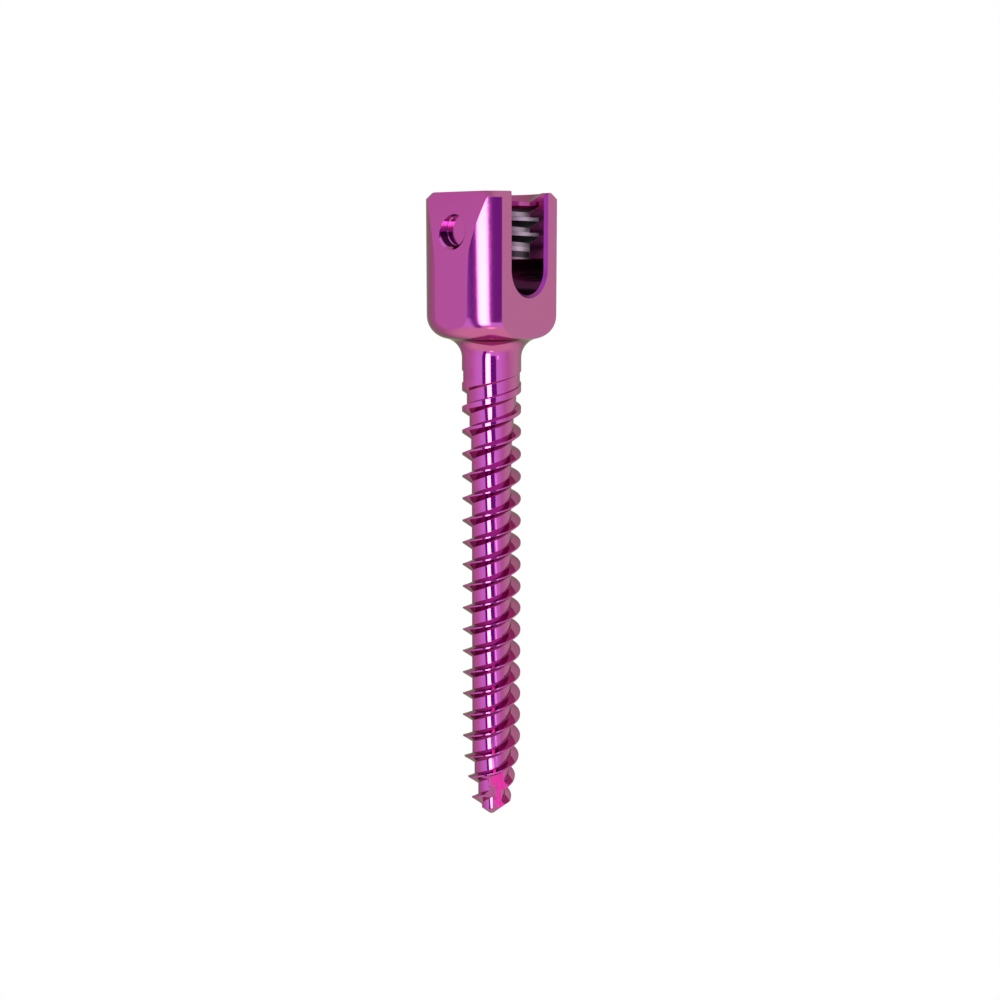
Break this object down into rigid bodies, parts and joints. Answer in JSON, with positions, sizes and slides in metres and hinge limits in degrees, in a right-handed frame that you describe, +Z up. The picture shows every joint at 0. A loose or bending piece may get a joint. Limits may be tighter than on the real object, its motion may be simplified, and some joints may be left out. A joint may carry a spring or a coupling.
{
  "type": "pedicle screw",
  "caption": "Fixed-angle bone screw with a double-start thread, a self-cutting point and a forked head with a U slot for a rod and a thread for a set screw.",
  "frame": {"origin": "centre of the bounding box's underside, on the surface that the screw lies on", "axes": "+Z up from that surface; +X along the screw towards the open end of the head, with the axis 2.6 degrees off level; +Y from one arm of the head to the other"},
  "size_m": [0.0644, 0.0124, 0.0104],
  "materials": {
    "anodised_titanium": "polished, anodised magenta"
  },
  "bodies": {
    "root": {"pedicle_screw": "anodised_titanium"}
  },
  "joints": []
}
